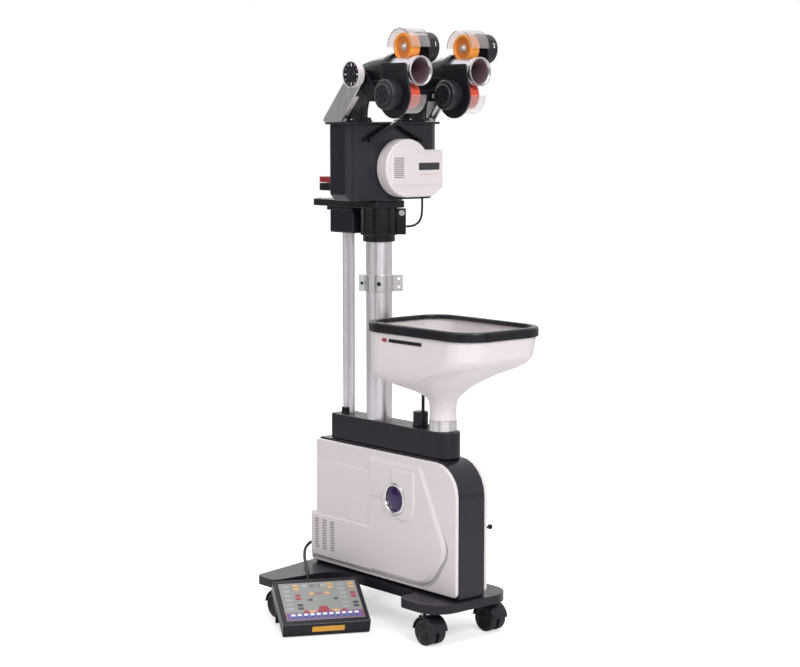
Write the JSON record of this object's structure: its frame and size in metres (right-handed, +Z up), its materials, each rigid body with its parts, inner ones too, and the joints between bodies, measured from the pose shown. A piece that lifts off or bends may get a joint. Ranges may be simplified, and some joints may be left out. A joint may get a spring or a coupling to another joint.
{
  "type": "table tennis robot",
  "caption": "Floor-standing table tennis robot on casters: ball bowl, feed body, mast, and a turning box with tilting wheeled launch heads; a cabled control desk lies beside it.",
  "frame": {"origin": "centre of the bounding box on the floor, without the free cable", "axes": "+Z up along the mast, -Y ahead where the balls are thrown, +X the robot's own left"},
  "size_m": [0.4574, 0.5551, 1.128],
  "materials": {
    "black_plastic": "satin",
    "dark_casing": "satin",
    "dark_metal": "satin",
    "white_plastic": "glossy",
    "mast_metal": "brushed",
    "light_metal": "satin",
    "black_rubber": "matte",
    "caster_tyre": "matte",
    "orange_foam": "matte",
    "red_foam": "matte",
    "clear_plastic": "clear",
    "violet_lens": "glossy",
    "panel_grey": "satin",
    "connector_red": "satin"
  },
  "bodies": {
    "base": {"base_frame": "black_plastic", "body_core": "black_plastic", "right_cover": "white_plastic", "left_cover": "white_plastic", "lens_bezel": "light_metal", "cover_lens": "violet_lens", "tank_housing": "black_plastic", "mast_tube": "mast_metal", "conduit_front": "mast_metal", "conduit_rear": "mast_metal", "hopper_bowl": "white_plastic", "hopper_rim": "black_rubber", "hopper_socket": "light_metal", "hopper_stay": "black_plastic", "mast_clamp": "mast_metal", "pan_collar": "black_plastic", "support_plate": "black_plastic", "pan_motor_box": "black_plastic", "controller_base": "black_plastic", "controller_panel": "panel_grey", "cable_gland": "black_rubber", "cable_lead": "black_rubber", "cable_coil": "black_rubber", "cable_tail": "black_rubber"},
    "feeder": {"feed_wheel": "red_foam"},
    "spin_upper_1": {"launch_wheel_upper_1": "orange_foam"},
    "spin_lower_1": {"launch_wheel_lower_1": "red_foam"},
    "spin_upper_2": {"launch_wheel_upper_2": "orange_foam"},
    "spin_lower_2": {"launch_wheel_lower_2": "red_foam"},
    "swivel_front_right": {"caster_hood_front_right": "black_plastic"},
    "wheel_front_right": {"caster_wheel_front_right": "caster_tyre"},
    "swivel_front_left": {"caster_hood_front_left": "black_plastic"},
    "wheel_front_left": {"caster_wheel_front_left": "caster_tyre"},
    "swivel_rear_right": {"caster_hood_rear_right": "black_plastic"},
    "wheel_rear_right": {"caster_wheel_rear_right": "caster_tyre"},
    "swivel_rear_left": {"caster_hood_rear_left": "black_plastic"},
    "wheel_rear_left": {"caster_wheel_rear_left": "caster_tyre"},
    "pan": {"ball_box": "dark_casing", "front_housing": "white_plastic", "front_brace": "dark_metal", "connector_block": "connector_red", "pan_cable": "black_rubber", "tilt_arm_right": "light_metal", "tilt_arm_left": "light_metal", "ball_duct_1": "black_rubber", "ball_duct_2": "black_rubber"},
    "dial": {"elevation_dial": "black_plastic"},
    "tilt": {"tilt_yoke": "dark_metal", "head_frame_1": "black_plastic", "barrel_1": "light_metal", "motor_upper_1": "black_plastic", "motor_lower_1": "black_plastic", "guard_upper_1": "clear_plastic", "guard_lower_1": "clear_plastic", "head_frame_2": "black_plastic", "barrel_2": "light_metal", "motor_upper_2": "black_plastic", "motor_lower_2": "black_plastic", "guard_upper_2": "clear_plastic", "guard_lower_2": "clear_plastic"}
  },
  "joints": [
    {"name": "pan", "type": "hinge", "parent": "base", "child": "pan", "pos_m": [0.0337, 0.09159, 0.8082], "axis": [0, 0, 1], "range_deg": [-30, 30], "deforming": ["pan_cable"]},
    {"name": "tilt", "type": "hinge", "parent": "pan", "child": "tilt", "pos_m": [0.0337, 0.01509, 1.0454], "axis": [-1, 0, 0], "range_deg": [-15, 30], "deforming": ["ball_duct_1", "ball_duct_2"]},
    {"name": "elevation_lock", "type": "hinge", "parent": "pan", "child": "dial", "pos_m": [-0.0843, 0.01509, 1.0454], "axis": [-1, 0, 0], "range_deg": [0, 180]},
    {"name": "feed", "type": "hinge", "parent": "base", "child": "feeder", "pos_m": [0.0337, -0.00116, 0.20855], "axis": [1, 0, 0], "continuous": true},
    {"name": "launch_upper_1", "type": "hinge", "parent": "tilt", "child": "spin_upper_1", "pos_m": [-0.0393, -0.07441, 1.094], "axis": [1, 0, 0], "continuous": true},
    {"name": "launch_lower_1", "type": "hinge", "parent": "tilt", "child": "spin_lower_1", "pos_m": [-0.0393, -0.07441, 1.008], "axis": [1, 0, 0], "continuous": true},
    {"name": "launch_upper_2", "type": "hinge", "parent": "tilt", "child": "spin_upper_2", "pos_m": [0.1067, -0.07441, 1.094], "axis": [1, 0, 0], "continuous": true},
    {"name": "launch_lower_2", "type": "hinge", "parent": "tilt", "child": "spin_lower_2", "pos_m": [0.1067, -0.07441, 1.008], "axis": [1, 0, 0], "continuous": true},
    {"name": "caster_swivel_front_right", "type": "hinge", "parent": "base", "child": "swivel_front_right", "pos_m": [-0.0423, -0.12641, 0.0625], "axis": [0, 0, 1], "continuous": true},
    {"name": "caster_roll_front_right", "type": "hinge", "parent": "swivel_front_right", "child": "wheel_front_right", "pos_m": [-0.0423, -0.14441, 0.025], "axis": [1, 0, 0], "continuous": true},
    {"name": "caster_swivel_front_left", "type": "hinge", "parent": "base", "child": "swivel_front_left", "pos_m": [0.1097, -0.12641, 0.0625], "axis": [0, 0, 1], "continuous": true},
    {"name": "caster_roll_front_left", "type": "hinge", "parent": "swivel_front_left", "child": "wheel_front_left", "pos_m": [0.1097, -0.14441, 0.025], "axis": [1, 0, 0], "continuous": true},
    {"name": "caster_swivel_rear_right", "type": "hinge", "parent": "base", "child": "swivel_rear_right", "pos_m": [-0.1313, 0.20959, 0.0625], "axis": [0, 0, 1], "continuous": true},
    {"name": "caster_roll_rear_right", "type": "hinge", "parent": "swivel_rear_right", "child": "wheel_rear_right", "pos_m": [-0.1313, 0.19159, 0.025], "axis": [1, 0, 0], "continuous": true},
    {"name": "caster_swivel_rear_left", "type": "hinge", "parent": "base", "child": "swivel_rear_left", "pos_m": [0.1987, 0.20959, 0.0625], "axis": [0, 0, 1], "continuous": true},
    {"name": "caster_roll_rear_left", "type": "hinge", "parent": "swivel_rear_left", "child": "wheel_rear_left", "pos_m": [0.1987, 0.19159, 0.025], "axis": [1, 0, 0], "continuous": true}
  ]
}
